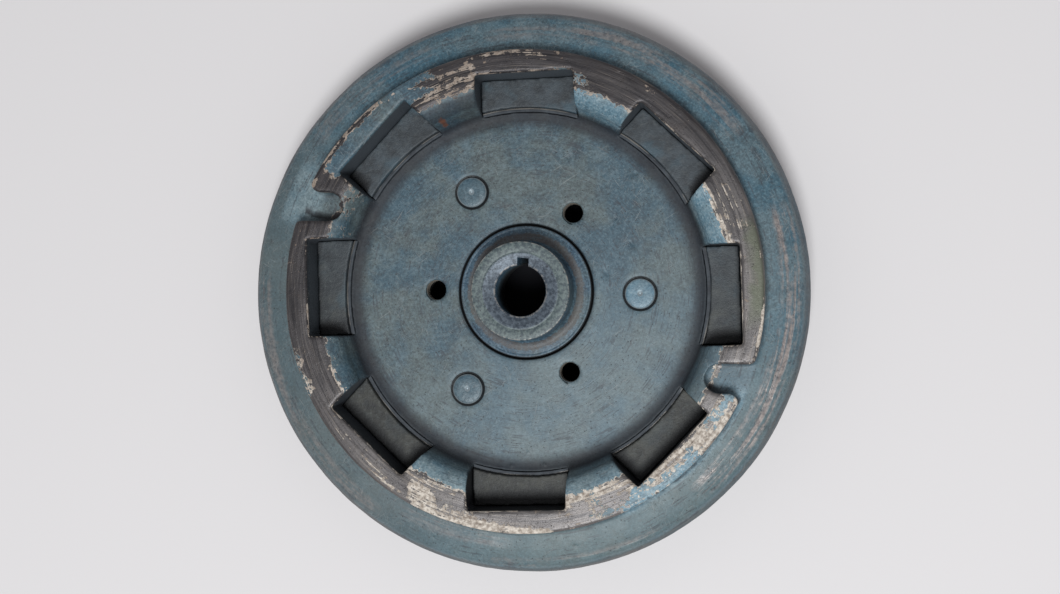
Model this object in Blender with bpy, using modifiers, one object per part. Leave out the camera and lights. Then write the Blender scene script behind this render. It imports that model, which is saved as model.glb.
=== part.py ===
"""Magneto flywheel for a small engine, lying on its rear rim with its front side up.

One cast body carries eight bar magnets, each behind a thin curved pole shoe that
faces the stator space at the rear. Each magnet is seen from the front through a
window in the raised ring. A steel hub with a tapered, keyed bore is held to the
web by three rivets, and three tapped holes pass through web and hub flange for
a puller or a starter cup. Two rope notches cut into the raised ring.

Metres, +Z up. The origin is on the shaft axis in the plane of the rear rim.
"""

import math

import bmesh
import bpy
from mathutils import Matrix, Vector

MM = 0.001
GAP = 0.3 * MM

# Driving dimensions
OUTER_R = 100 * MM
REAR_Z = 0.0
WEB_Z = 24 * MM            # front face of the web
WEB_THICKNESS = 6 * MM
RING_HEIGHT = 16 * MM      # raised ring above the web
RING_OUTER_R = 84 * MM
LEDGE_HEIGHT = 8 * MM      # rope ledge above the web, at the foot of the raised ring
REAR_BORE_R = 64.9 * MM
BODY_STEPS = 72

MAGNET_COUNT = 8
MAGNET_WIDTH = 34 * MM
MAGNET_MIDDLE_R = 70 * MM
MAGNET_SKEW = 3            # degrees by which each magnet is turned about its own middle
MAGNET_BOTTOM_Z = 3.3 * MM
MAGNET_PROUD = 3 * MM      # front end of the magnets above the web
WINDOW_WALL_R = 76 * MM    # flat outer wall of each magnet window
POLE_INNER_R = 64.4 * MM
POLE_THICKNESS = 0.9 * MM
POLE_PROUD = 1.2 * MM      # the pole shoe stands this far above the web
POLE_GAP = 0.5 * MM        # bond line between pole shoe and magnet

NOTCH_WIDTH = 10 * MM
NOTCH_ANGLE = -22.5        # degrees, midway between two windows
NOTCH_END_R = 74.8 * MM    # radius at which the round end of a notch is centred
NOTCH_FLOOR_Z = WEB_Z + LEDGE_HEIGHT + 0.2 * MM
NOTCH_MOUTH_R = 3.2 * MM

HUB_TOP_Z = WEB_Z + 14.3 * MM
HUB_BOTTOM_Z = 4 * MM
BOSS_R = 17.3 * MM
SPIGOT_R = 23.7 * MM
FLANGE_R = 48 * MM
FLANGE_THICKNESS = 5 * MM
BARREL_R = 20 * MM
BORE_FRONT_R = 8.9 * MM
BORE_TAPER = 1 / 8         # change of diameter over length, widening to the rear
COUNTERSINK_R = 12.8 * MM
COUNTERSINK_DEPTH = 1.2 * MM
KEYWAY_WIDTH = 4 * MM
KEYWAY_DEPTH = 2.5 * MM
KEYWAY_ANGLE = 86          # degrees
HUB_STEPS = 48

RIVET_CIRCLE_R = 40.8 * MM
RIVET_ANGLES = (0, 120, 240)
RIVET_SHANK_R = 3 * MM
RIVET_HEAD_R = 5.45 * MM
RIVET_PROUD = 0.85 * MM
SPOT_FACE_R = 5.9 * MM
SPOT_FACE_DEPTH = 0.8 * MM

TAPPED_CIRCLE_R = 32.7 * MM
TAPPED_ANGLES = (60, 180, 300)
TAPPED_R = 4.1 * MM
HOLE_STEPS = 24

RING_TOP_Z = WEB_Z + RING_HEIGHT
LEDGE_Z = WEB_Z + LEDGE_HEIGHT
WEB_BACK_Z = WEB_Z - WEB_THICKNESS
FLANGE_FRONT_Z = WEB_BACK_Z - GAP
FLANGE_BACK_Z = FLANGE_FRONT_Z - FLANGE_THICKNESS


def clear_scene():
    for item in list(bpy.data.objects):
        bpy.data.objects.remove(item)


def make_collection(name):
    collection = bpy.data.collections.new(name)
    bpy.context.scene.collection.children.link(collection)
    return collection


def make_material(name, colour, roughness, metallic):
    material = bpy.data.materials.new(name)
    material.use_nodes = True
    shader = material.node_tree.nodes["Principled BSDF"]
    shader.inputs["Base Color"].default_value = (*colour, 1)
    shader.inputs["Roughness"].default_value = roughness
    shader.inputs["Metallic"].default_value = metallic
    return material


def arc(centre_r, centre_z, radius, start, end, count):
    """Points (r, z) along a circular arc in the profile plane; angles in degrees."""
    points = []
    for i in range(count + 1):
        angle = math.radians(start + (end - start) * i / count)
        points.append((centre_r + radius * math.cos(angle), centre_z + radius * math.sin(angle)))
    return points


def on_circle(radius, degrees):
    angle = math.radians(degrees)
    return radius * math.cos(angle), radius * math.sin(angle)


def shade(item, material):
    item.data.materials.clear()
    item.data.materials.append(material)
    item.data.shade_smooth()
    item.data.set_sharp_from_angle(angle=math.radians(30))


def turned(name, profile, steps, collection, closed):
    """A solid of revolution about Z. The profile is a list of (r, z) points that runs
    down the outer side; closed joins its last point to its first, and an open one
    starts and ends on the axis."""
    edges = [(i, i + 1) for i in range(len(profile) - 1)]
    if closed:
        edges.append((len(profile) - 1, 0))
    mesh = bpy.data.meshes.new(name)
    mesh.from_pydata([(r, 0, z) for r, z in profile], edges, [])
    item = bpy.data.objects.new(name, mesh)
    collection.objects.link(item)
    screw = item.modifiers.new("turn", "SCREW")
    screw.axis = "Z"
    screw.angle = math.tau
    screw.steps = steps
    screw.render_steps = steps
    screw.use_merge_vertices = True
    screw.merge_threshold = 0.00001
    return bake(item)


def prism(name, outline, low_z, high_z, collection):
    """A flat outline of (x, y) points, raised between two heights."""
    curve = bpy.data.curves.new(name, "CURVE")
    curve.dimensions = "2D"
    curve.fill_mode = "BOTH"
    curve.extrude = (high_z - low_z) / 2
    spline = curve.splines.new("POLY")
    spline.points.add(len(outline) - 1)
    for point, (x, y) in zip(spline.points, outline):
        point.co = (x, y, 0, 1)
    spline.use_cyclic_u = True
    item = bpy.data.objects.new(name, curve)
    item.location = (0, 0, (low_z + high_z) / 2)
    collection.objects.link(item)
    return bake(item)


def bake(item):
    """Replaces an object by a plain mesh of what it evaluates to, in world space."""
    bpy.context.view_layer.update()
    evaluated = item.evaluated_get(bpy.context.evaluated_depsgraph_get())
    mesh = bpy.data.meshes.new_from_object(evaluated)
    mesh.transform(item.matrix_world)
    name = item.name
    collection = item.users_collection[0]
    bpy.data.objects.remove(item)
    baked = bpy.data.objects.new(name, mesh)
    collection.objects.link(baked)
    weld(mesh)
    return baked


def weld(mesh):
    work = bmesh.new()
    work.from_mesh(mesh)
    bmesh.ops.remove_doubles(work, verts=work.verts, dist=0.000001)
    bmesh.ops.recalc_face_normals(work, faces=work.faces)
    work.to_mesh(mesh)
    work.free()


def copy_turned(item, name, degrees, collection):
    """A copy of an object, turned about the shaft axis, that shares its mesh."""
    copy = bpy.data.objects.new(name, item.data)
    copy.rotation_euler = (0, 0, math.radians(degrees))
    collection.objects.link(copy)
    return copy


def cut(item, cutter):
    cutter.hide_render = True
    cutter.display_type = "WIRE"
    difference = item.modifiers.new("cut " + cutter.name, "BOOLEAN")
    difference.operation = "DIFFERENCE"
    difference.solver = "EXACT"
    difference.object = cutter


def body_profile():
    """Section of the cast body, from the inner edge of the raised ring's top, down
    the outside, across the rear rim, up the stator space and back along the web."""
    lip_r = 7.5 * MM
    lip_edge_r = 74 * MM
    lip_foot_r = lip_edge_r - lip_r
    lip_foot_z = RING_TOP_Z - lip_r
    web_fillet = 3.4 * MM
    web_edge_r = 64.9 * MM
    rear_fillet = 2 * MM
    hub_seat_r = SPIGOT_R + GAP
    profile = [
        (RING_OUTER_R - 0.6 * MM, RING_TOP_Z),
        (RING_OUTER_R, RING_TOP_Z - 0.6 * MM),
        (RING_OUTER_R + 0.3 * MM, LEDGE_Z + 0.9 * MM),
        (RING_OUTER_R + 1.2 * MM, LEDGE_Z),
        (90.5 * MM, LEDGE_Z - 0.7 * MM),
        (96.4 * MM, LEDGE_Z - 2.6 * MM),
        (98.2 * MM, LEDGE_Z - 4.6 * MM),
        (99.3 * MM, LEDGE_Z - 6.8 * MM),
        (OUTER_R, LEDGE_Z - 9.2 * MM),
        (OUTER_R, REAR_Z + 1.5 * MM),
        (OUTER_R - 1.5 * MM, REAR_Z),
        (REAR_BORE_R + 1.2 * MM, REAR_Z),
        (REAR_BORE_R, REAR_Z + 1.2 * MM),
    ]
    profile += arc(REAR_BORE_R - rear_fillet, WEB_BACK_Z - rear_fillet, rear_fillet, 0, 90, 3)
    profile += [
        (hub_seat_r, WEB_BACK_Z),
        (hub_seat_r, WEB_Z - 0.6 * MM),
        (hub_seat_r + 0.5 * MM, WEB_Z),
    ]
    profile += arc(web_edge_r - web_fillet, WEB_Z + web_fillet, web_fillet, -90, -15, 4)
    profile += arc(lip_edge_r, lip_foot_z, lip_r, 180, 90, 7)
    return profile


def hub_profile():
    fillet = 3.2 * MM
    step_z = WEB_Z + 0.3 * MM
    mouth_z = HUB_TOP_Z - COUNTERSINK_DEPTH
    bore_rear_r = BORE_FRONT_R + (mouth_z - HUB_BOTTOM_Z) * BORE_TAPER / 2
    flange_fillet = 3.5 * MM
    edge = 0.5 * MM
    profile = [
        (BORE_FRONT_R, mouth_z),
        (COUNTERSINK_R, HUB_TOP_Z),
        (BOSS_R - edge, HUB_TOP_Z),
        (BOSS_R, HUB_TOP_Z - edge),
    ]
    profile += arc(BOSS_R + fillet, step_z + fillet, fillet, 180, 270, 5)
    profile += [
        (SPIGOT_R - edge, step_z),
        (SPIGOT_R, step_z - 2 * edge),
        (SPIGOT_R, FLANGE_FRONT_Z),
        (FLANGE_R - edge, FLANGE_FRONT_Z),
        (FLANGE_R, FLANGE_FRONT_Z - edge),
        (FLANGE_R, FLANGE_BACK_Z + edge),
        (FLANGE_R - edge, FLANGE_BACK_Z),
    ]
    profile += arc(BARREL_R + flange_fillet, FLANGE_BACK_Z - flange_fillet, flange_fillet, 90, 180, 4)
    profile += [
        (BARREL_R, HUB_BOTTOM_Z + 2 * edge),
        (BARREL_R - 2 * edge, HUB_BOTTOM_Z),
        (bore_rear_r + edge, HUB_BOTTOM_Z),
        (bore_rear_r, HUB_BOTTOM_Z + edge),
    ]
    return profile


def rivet_profile():
    front_z = WEB_Z + RIVET_PROUD
    seat_z = WEB_Z - SPOT_FACE_DEPTH + GAP
    rear_z = FLANGE_BACK_Z - GAP
    return [
        (0, front_z - 0.4 * MM),
        (0.6 * MM, front_z),
        (3 * MM, front_z),
        (RIVET_HEAD_R - 0.5 * MM, front_z - 0.15 * MM),
        (RIVET_HEAD_R, front_z - 0.6 * MM),
        (RIVET_HEAD_R, seat_z),
        (RIVET_SHANK_R, seat_z),
        (RIVET_SHANK_R, rear_z),
        (5.3 * MM, rear_z),
        (5 * MM, rear_z - 1.2 * MM),
        (3.6 * MM, rear_z - 2 * MM),
        (0, rear_z - 2.3 * MM),
    ]


def side_angle(radius, offset):
    """Angle at which the side of a magnet, at this offset from its middle, meets a
    circle about the shaft axis."""
    skew = math.radians(MAGNET_SKEW)
    along = Vector((math.cos(skew), math.sin(skew)))
    across = Vector((-along.y, along.x))
    start = Vector((MAGNET_MIDDLE_R, 0)) + across * offset
    reach = start.dot(along)
    meeting = start + along * (math.sqrt(reach ** 2 - start.length_squared + radius ** 2) - reach)
    return math.degrees(math.atan2(meeting.y, meeting.x))


def inner_arc(radius, half_width, count=8):
    """An arc about the shaft axis between a magnet's two sides, from +Y to -Y."""
    first = side_angle(radius, half_width)
    last = side_angle(radius, -half_width)
    return [on_circle(radius, first + (last - first) * i / count) for i in range(count + 1)]


def outer_corners(wall_r, half_width):
    """Ends of the flat outer side of a magnet or its window, from -Y to +Y."""
    corners = []
    for side in (-1, 1):
        corner = Vector((wall_r - MAGNET_MIDDLE_R, side * half_width))
        corner.rotate(Matrix.Rotation(math.radians(MAGNET_SKEW), 2))
        corners.append((corner.x + MAGNET_MIDDLE_R, corner.y))
    return corners


def magnet_outline():
    half = MAGNET_WIDTH / 2
    inner_r = POLE_INNER_R + POLE_THICKNESS + POLE_GAP
    return outer_corners(WINDOW_WALL_R - GAP, half) + inner_arc(inner_r, half)


def pole_shoe_outline():
    half = MAGNET_WIDTH / 2
    outer = inner_arc(POLE_INNER_R + POLE_THICKNESS, half)
    return outer[::-1] + inner_arc(POLE_INNER_R, half)


def window_outline():
    half = MAGNET_WIDTH / 2 + GAP
    return outer_corners(WINDOW_WALL_R, half) + inner_arc(POLE_INNER_R - GAP, half)


def notch_outline():
    """A slot open to +X: a half-round end, straight sides and a rounded mouth that runs
    out past the ring's edge."""
    half = NOTCH_WIDTH / 2
    end_x, end_y = on_circle(NOTCH_END_R, NOTCH_ANGLE)
    ring = RING_OUTER_R + 0.4 * MM
    points = [on_circle(half, 90 + 180 * i / 8) for i in range(9)]
    for side in (-1, 1):
        centre_y = side * (half + NOTCH_MOUTH_R)
        reach = math.sqrt((ring - NOTCH_MOUTH_R) ** 2 - (end_y + centre_y) ** 2) - end_x
        mouth = []
        turn = math.degrees(math.atan2(end_y + centre_y, end_x + reach))
        first = -90 * side
        for i in range(7):
            x, y = on_circle(NOTCH_MOUTH_R, first + (turn - first) * i / 6)
            mouth.append((reach + x, centre_y + y))
        outer = on_circle(ring + 4 * MM, turn)
        mouth.append((outer[0] - end_x, outer[1] - end_y))
        points += mouth if side < 0 else mouth[::-1]
    return [(end_x + x, end_y + y) for x, y in points]


def build_body(parts, cutters):
    body = turned("cast_body", body_profile(), BODY_STEPS, parts, True)
    above_z = RING_TOP_Z + 3 * MM
    window = prism("window_cutter", window_outline(), MAGNET_BOTTOM_Z - GAP, above_z, cutters)
    cut(body, window)
    for i in range(1, MAGNET_COUNT):
        cut(body, copy_turned(window, f"window_cutter_{i + 1}", 360 * i / MAGNET_COUNT, cutters))

    notch = prism("notch_cutter", notch_outline(), NOTCH_FLOOR_Z, above_z, cutters)
    cut(body, notch)
    cut(body, copy_turned(notch, "notch_cutter_2", 180, cutters))
    return body


def build_hub(parts, cutters):
    hub = turned("hub", hub_profile(), HUB_STEPS, parts, True)
    front_z = HUB_TOP_Z + 1 * MM
    rear_z = HUB_BOTTOM_Z - 1 * MM
    front_r = BORE_FRONT_R + KEYWAY_DEPTH
    rear_r = front_r + (front_z - rear_z) * BORE_TAPER / 2
    side = [(0, rear_z), (rear_r, rear_z), (front_r, front_z), (0, front_z)]
    keyway = prism("keyway_cutter", side, -KEYWAY_WIDTH / 2, KEYWAY_WIDTH / 2, cutters)
    keyway.data.transform(Matrix.Rotation(math.radians(90), 4, "X"))
    keyway.rotation_euler = (0, 0, math.radians(KEYWAY_ANGLE))
    cut(hub, keyway)
    return hub


def drill_holes(body, hub, cutters):
    """Rivet holes and tapped holes, through the web and the hub's flange together."""
    below_z = FLANGE_BACK_Z - 2 * MM
    above_z = WEB_Z + 2 * MM
    shank = RIVET_SHANK_R + GAP
    spot_z = WEB_Z - SPOT_FACE_DEPTH
    rivet_hole = [
        (0, above_z),
        (SPOT_FACE_R, above_z),
        (SPOT_FACE_R, spot_z),
        (shank, spot_z),
        (shank, below_z),
        (0, below_z),
    ]
    chamfer = 0.5 * MM
    tapped_hole = [
        (0, above_z),
        (TAPPED_R + chamfer, above_z),
        (TAPPED_R + chamfer, WEB_Z),
        (TAPPED_R, WEB_Z - chamfer),
        (TAPPED_R, below_z),
        (0, below_z),
    ]
    for kind, profile, circle_r, angles in (
        ("rivet", rivet_hole, RIVET_CIRCLE_R, RIVET_ANGLES),
        ("tapped", tapped_hole, TAPPED_CIRCLE_R, TAPPED_ANGLES),
    ):
        for degrees in angles:
            drill = turned(f"{kind}_hole_{degrees}", profile, HOLE_STEPS, cutters, False)
            drill.location = (*on_circle(circle_r, degrees), 0)
            cut(body, drill)
            cut(hub, drill)


def build_rivets(parts, material):
    rivet = turned("hub_rivet_1", rivet_profile(), HOLE_STEPS, parts, False)
    shade(rivet, material)
    rivet.location = (*on_circle(RIVET_CIRCLE_R, RIVET_ANGLES[0]), 0)
    for i, degrees in enumerate(RIVET_ANGLES[1:], 2):
        copy = bpy.data.objects.new(f"hub_rivet_{i}", rivet.data)
        copy.location = (*on_circle(RIVET_CIRCLE_R, degrees), 0)
        parts.objects.link(copy)


def build_magnets(parts, magnet_material, pole_material):
    magnet_top_z = WEB_Z + MAGNET_PROUD
    shoe_top_z = WEB_Z + POLE_PROUD
    magnet = prism("magnet_1", magnet_outline(), MAGNET_BOTTOM_Z, magnet_top_z, parts)
    shade(magnet, magnet_material)
    shoe = prism("pole_shoe_1", pole_shoe_outline(), MAGNET_BOTTOM_Z, shoe_top_z, parts)
    shade(shoe, pole_material)
    for i in range(1, MAGNET_COUNT):
        degrees = 360 * i / MAGNET_COUNT
        copy_turned(magnet, f"magnet_{i + 1}", degrees, parts)
        copy_turned(shoe, f"pole_shoe_{i + 1}", degrees, parts)


def main():
    clear_scene()
    parts = make_collection("flywheel")
    cutters = make_collection("cutters")
    painted_iron = make_material("painted_iron", (0.10, 0.15, 0.18), 0.55, 0.3)
    hub_steel = make_material("hub_steel", (0.18, 0.22, 0.24), 0.5, 0.6)
    rivet_steel = make_material("rivet_steel", (0.22, 0.30, 0.36), 0.45, 0.6)
    magnet_alloy = make_material("magnet_alloy", (0.07, 0.08, 0.09), 0.6, 0.5)
    pole_steel = make_material("pole_steel", (0.30, 0.30, 0.29), 0.4, 0.8)
    body = build_body(parts, cutters)
    hub = build_hub(parts, cutters)
    drill_holes(body, hub, cutters)
    shade(bake(body), painted_iron)
    shade(bake(hub), hub_steel)
    build_rivets(parts, rivet_steel)
    build_magnets(parts, magnet_alloy, pole_steel)


main()
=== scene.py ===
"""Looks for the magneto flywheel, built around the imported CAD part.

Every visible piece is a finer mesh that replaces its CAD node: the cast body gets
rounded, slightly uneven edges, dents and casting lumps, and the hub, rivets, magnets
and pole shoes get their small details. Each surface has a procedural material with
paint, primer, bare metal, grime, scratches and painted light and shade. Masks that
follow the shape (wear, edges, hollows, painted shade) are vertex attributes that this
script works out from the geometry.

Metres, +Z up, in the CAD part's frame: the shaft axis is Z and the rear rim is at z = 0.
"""

import math

import bmesh
import bpy
import numpy as np
from mathutils import Matrix, Vector


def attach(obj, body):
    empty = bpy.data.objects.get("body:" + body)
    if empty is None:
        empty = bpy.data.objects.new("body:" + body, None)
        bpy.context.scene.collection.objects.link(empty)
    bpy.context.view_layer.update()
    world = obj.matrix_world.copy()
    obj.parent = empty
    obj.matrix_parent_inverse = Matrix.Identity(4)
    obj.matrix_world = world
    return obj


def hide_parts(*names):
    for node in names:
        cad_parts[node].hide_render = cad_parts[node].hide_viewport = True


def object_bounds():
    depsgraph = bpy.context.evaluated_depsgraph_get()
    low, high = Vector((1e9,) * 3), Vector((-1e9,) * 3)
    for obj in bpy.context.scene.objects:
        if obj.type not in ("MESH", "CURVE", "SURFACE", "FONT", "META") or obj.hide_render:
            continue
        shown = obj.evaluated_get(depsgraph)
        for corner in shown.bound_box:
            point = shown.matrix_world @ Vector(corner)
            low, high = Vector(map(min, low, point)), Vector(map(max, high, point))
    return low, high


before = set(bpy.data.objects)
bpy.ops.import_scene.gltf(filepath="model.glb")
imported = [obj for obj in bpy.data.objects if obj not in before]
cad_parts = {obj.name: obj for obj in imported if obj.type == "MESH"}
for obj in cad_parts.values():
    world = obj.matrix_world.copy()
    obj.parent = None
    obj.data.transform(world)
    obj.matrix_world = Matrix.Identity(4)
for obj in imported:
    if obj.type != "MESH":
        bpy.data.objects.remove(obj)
cad_low, cad_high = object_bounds()

MM = 0.001

# Dimensions of the part
WEB_Z = 24 * MM
WEB_BACK_Z = 18 * MM
RING_TOP_Z = 40 * MM
RING_OUTER_R = 84 * MM
LEDGE_Z = 32 * MM
OUTER_R = 100 * MM
REAR_BORE_R = 64.9 * MM
HUB_SEAT_R = 24 * MM
WEB_EDGE_R = 64.9 * MM

MAGNET_COUNT = 8
MAGNET_WIDTH = 34 * MM
MAGNET_MIDDLE_R = 70 * MM
MAGNET_SKEW = 3
MAGNET_BOTTOM_Z = 3.3 * MM
MAGNET_TOP_Z = 27 * MM
WINDOW_WALL_R = 76 * MM
POLE_INNER_R = 64.4 * MM
POLE_THICKNESS = 0.9 * MM
POLE_TOP_Z = 25.2 * MM
POLE_GAP = 0.5 * MM
GAP = 0.3 * MM

NOTCH_WIDTH = 10 * MM
NOTCH_ANGLE = -22.5
NOTCH_END_R = 74.8 * MM
NOTCH_FLOOR_Z = 32.2 * MM
NOTCH_MOUTH_R = 3.2 * MM

HUB_TOP_Z = 38.3 * MM
HUB_BOTTOM_Z = 4 * MM
BOSS_R = 17.3 * MM
SPIGOT_R = 23.7 * MM
FLANGE_R = 48 * MM
FLANGE_FRONT_Z = 17.7 * MM
FLANGE_BACK_Z = 12.7 * MM
BARREL_R = 20 * MM
BORE_FRONT_R = 8.9 * MM
BORE_TAPER = 1 / 8
COUNTERSINK_R = 12.8 * MM
COUNTERSINK_DEPTH = 1.2 * MM
KEYWAY_WIDTH = 4 * MM
KEYWAY_DEPTH = 2.5 * MM
KEYWAY_ANGLE = 86

RIVET_CIRCLE_R = 40.8 * MM
RIVET_ANGLES = (0, 120, 240)
RIVET_SHANK_R = 3 * MM
RIVET_HEAD_R = 5.45 * MM
SPOT_FACE_R = 6.1 * MM
SPOT_FACE_Z = 23.2 * MM
TAPPED_CIRCLE_R = 32.7 * MM
TAPPED_ANGLES = (60, 180, 300)
TAPPED_R = 4.1 * MM
THREAD_MINOR_R = 3.5 * MM
THREAD_PITCH = 1.25 * MM

BODY_VOXEL = 0.55 * MM
BODY_FACES = 186000


# ---------------------------------------------------------------- numbers and noise

def srgb(red, green, blue):
    """A linear colour from the usual 0-255 values."""
    channels = []
    for value in (red, green, blue):
        value /= 255
        channels.append(value / 12.92 if value <= 0.04045 else ((value + 0.055) / 1.055) ** 2.4)
    return (*channels, 1)


def smooth_step(low, high, values):
    t = np.clip((values - low) / (high - low), 0, 1)
    return t * t * (3 - 2 * t)


def lattice(ix, iy, iz, seed):
    mixed = (ix * 73856093) ^ (iy * 19349663) ^ (iz * 83492791) ^ (seed * 40503)
    mixed = (mixed ^ (mixed >> 13)) * 1274126177
    mixed = (mixed ^ (mixed >> 16)) & 0xFFFFFF
    return mixed / 0x7FFFFF - 1


def value_noise(points, size, seed):
    """Smooth noise from -1 to 1 whose lumps are about this size."""
    scaled = points / size
    base = np.floor(scaled).astype(np.int64)
    part = scaled - base
    part = part * part * (3 - 2 * part)
    total = np.zeros(len(points))
    for dx in (0, 1):
        for dy in (0, 1):
            for dz in (0, 1):
                weight = np.where(dx, part[:, 0], 1 - part[:, 0])
                weight = weight * np.where(dy, part[:, 1], 1 - part[:, 1])
                weight = weight * np.where(dz, part[:, 2], 1 - part[:, 2])
                total += weight * lattice(base[:, 0] + dx, base[:, 1] + dy, base[:, 2] + dz, seed)
    return total


def on_circle(radius, degrees):
    angle = math.radians(degrees)
    return radius * math.cos(angle), radius * math.sin(angle)


def arc(centre_r, centre_z, radius, start, end, count):
    points = []
    for i in range(count + 1):
        x, z = on_circle(radius, start + (end - start) * i / count)
        points.append((centre_r + x, centre_z + z))
    return points


# ---------------------------------------------------------------- mesh building

def new_object(name, mesh):
    item = bpy.data.objects.new(name, mesh)
    bpy.context.scene.collection.objects.link(item)
    return item


def tidy(mesh):
    work = bmesh.new()
    work.from_mesh(mesh)
    bmesh.ops.remove_doubles(work, verts=work.verts, dist=0.000002)
    bmesh.ops.recalc_face_normals(work, faces=work.faces)
    work.to_mesh(mesh)
    work.free()


def solid(name, vertices, faces):
    mesh = bpy.data.meshes.new(name)
    mesh.from_pydata(vertices, [], faces)
    tidy(mesh)
    return new_object(name, mesh)


def lathe(name, profile, steps, centre=(0, 0)):
    """A solid of revolution from a loop of (r, z) points; a point at r = 0 is a pole."""
    count = len(profile)
    vertices = []
    for i in range(steps):
        turn = math.tau * i / steps
        for r, z in profile:
            vertices.append((r * math.cos(turn) + centre[0], r * math.sin(turn) + centre[1], z))
    faces = []
    for i in range(steps):
        here = i * count
        there = (i + 1) % steps * count
        for j in range(count):
            k = (j + 1) % count
            if profile[j][0] == 0 and profile[k][0] == 0:
                continue
            if profile[j][0] == 0:
                faces.append((here + j, here + k, there + k))
            elif profile[k][0] == 0:
                faces.append((here + j, here + k, there + j))
            else:
                faces.append((here + j, here + k, there + k, there + j))
    return solid(name, vertices, faces)


def prism(name, outline, low_z, high_z):
    count = len(outline)
    vertices = [(x, y, low_z) for x, y in outline] + [(x, y, high_z) for x, y in outline]
    faces = [tuple(range(count))[::-1], tuple(range(count, 2 * count))]
    for i in range(count):
        k = (i + 1) % count
        faces.append((i, k, count + k, count + i))
    return solid(name, vertices, faces)


def applied(item):
    """The object with its modifiers made real, at the origin."""
    bpy.context.view_layer.update()
    evaluated = item.evaluated_get(bpy.context.evaluated_depsgraph_get())
    mesh = bpy.data.meshes.new_from_object(evaluated)
    mesh.transform(item.matrix_world)
    name = item.name
    old = item.data
    bpy.data.objects.remove(item)
    bpy.data.meshes.remove(old)
    mesh.name = name
    return new_object(name, mesh)


def joined(name, items):
    work = bmesh.new()
    for item in items:
        work.from_mesh(item.data)
    mesh = bpy.data.meshes.new(name)
    work.to_mesh(mesh)
    work.free()
    for item in items:
        bpy.data.objects.remove(item)
    return new_object(name, mesh)


def cut(item, cutter):
    difference = item.modifiers.new("cut", "BOOLEAN")
    difference.operation = "DIFFERENCE"
    difference.solver = "EXACT"
    difference.object = cutter
    result = applied(item)
    bpy.data.objects.remove(cutter)
    return result


def turned_copies(item, angles):
    copies = []
    for degrees in angles:
        mesh = item.data.copy()
        mesh.transform(Matrix.Rotation(math.radians(degrees), 4, "Z"))
        copies.append(new_object("copy", mesh))
    bpy.data.objects.remove(item)
    return copies


def bevelled(item, width, segments, angle=30):
    bevel = item.modifiers.new("bevel", "BEVEL")
    bevel.width = width
    bevel.segments = segments
    bevel.limit_method = "ANGLE"
    bevel.angle_limit = math.radians(angle)
    bevel.use_clamp_overlap = True
    return applied(item)


def vertex_vectors(item, field):
    values = np.zeros(len(item.data.vertices) * 3, np.float64)
    item.data.vertices.foreach_get(field, values)
    return values.reshape(-1, 3)


def coordinates(item):
    return vertex_vectors(item, "co")


def normals(item):
    return vertex_vectors(item, "normal")


def set_coordinates(item, points):
    item.data.vertices.foreach_set("co", points.astype(np.float32).ravel())
    item.data.update()


def neighbour_mean(item, values):
    """Mean over each vertex's neighbours, for one value or one vector a vertex."""
    edges = np.zeros(len(item.data.edges) * 2, np.int32)
    item.data.edges.foreach_get("vertices", edges)
    edges = edges.reshape(-1, 2)
    count = len(item.data.vertices)
    links = np.bincount(edges.ravel(), minlength=count)
    columns = values.reshape(count, -1)
    means = np.zeros_like(columns)
    for c in range(columns.shape[1]):
        sums = np.bincount(edges[:, 0], columns[edges[:, 1], c], minlength=count)
        sums += np.bincount(edges[:, 1], columns[edges[:, 0], c], minlength=count)
        means[:, c] = sums / np.maximum(links, 1)
    return means.reshape(values.shape)


def bend(item, rounds):
    """How sharply the surface bends at each vertex: above 0 on edges, below 0 in hollows."""
    points = coordinates(item)
    smoothed = points
    for _ in range(rounds):
        smoothed = neighbour_mean(item, smoothed)
    value = np.einsum("ij,ij->i", points - smoothed, normals(item)) / MM
    for _ in range(2):
        value = neighbour_mean(item, value)
    return value


def attribute(item, name, values):
    layer = item.data.attributes.get(name) or item.data.attributes.new(name, "FLOAT", "POINT")
    layer.data.foreach_set("value", np.asarray(values, np.float32))


def angle_gap(angles, centre):
    return np.abs((angles - centre + 180) % 360 - 180)


# ---------------------------------------------------------------- the pieces' shapes

def side_angle(radius, offset):
    skew = math.radians(MAGNET_SKEW)
    along = Vector((math.cos(skew), math.sin(skew)))
    across = Vector((-along.y, along.x))
    start = Vector((MAGNET_MIDDLE_R, 0)) + across * offset
    reach = start.dot(along)
    meeting = start + along * (math.sqrt(reach ** 2 - start.length_squared + radius ** 2) - reach)
    return math.degrees(math.atan2(meeting.y, meeting.x))


def inner_arc(radius, half_width, count=16):
    first = side_angle(radius, half_width)
    last = side_angle(radius, -half_width)
    return [on_circle(radius, first + (last - first) * i / count) for i in range(count + 1)]


def outer_corners(wall_r, half_width):
    corners = []
    for side in (-1, 1):
        corner = Vector((wall_r - MAGNET_MIDDLE_R, side * half_width))
        corner.rotate(Matrix.Rotation(math.radians(MAGNET_SKEW), 2))
        corners.append((corner.x + MAGNET_MIDDLE_R, corner.y))
    return corners


def notch_outline():
    half = NOTCH_WIDTH / 2
    end_x, end_y = on_circle(NOTCH_END_R, NOTCH_ANGLE)
    ring = RING_OUTER_R + 0.4 * MM
    points = [on_circle(half, 90 + 180 * i / 16) for i in range(17)]
    for side in (-1, 1):
        centre_y = side * (half + NOTCH_MOUTH_R)
        reach = math.sqrt((ring - NOTCH_MOUTH_R) ** 2 - (end_y + centre_y) ** 2) - end_x
        mouth = []
        turn = math.degrees(math.atan2(end_y + centre_y, end_x + reach))
        first = -90 * side
        for i in range(11):
            x, y = on_circle(NOTCH_MOUTH_R, first + (turn - first) * i / 10)
            mouth.append((reach + x, centre_y + y))
        outer = on_circle(ring + 4 * MM, turn)
        mouth.append((outer[0] - end_x, outer[1] - end_y))
        points += mouth if side < 0 else mouth[::-1]
    return [(end_x + x, end_y + y) for x, y in points]


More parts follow.
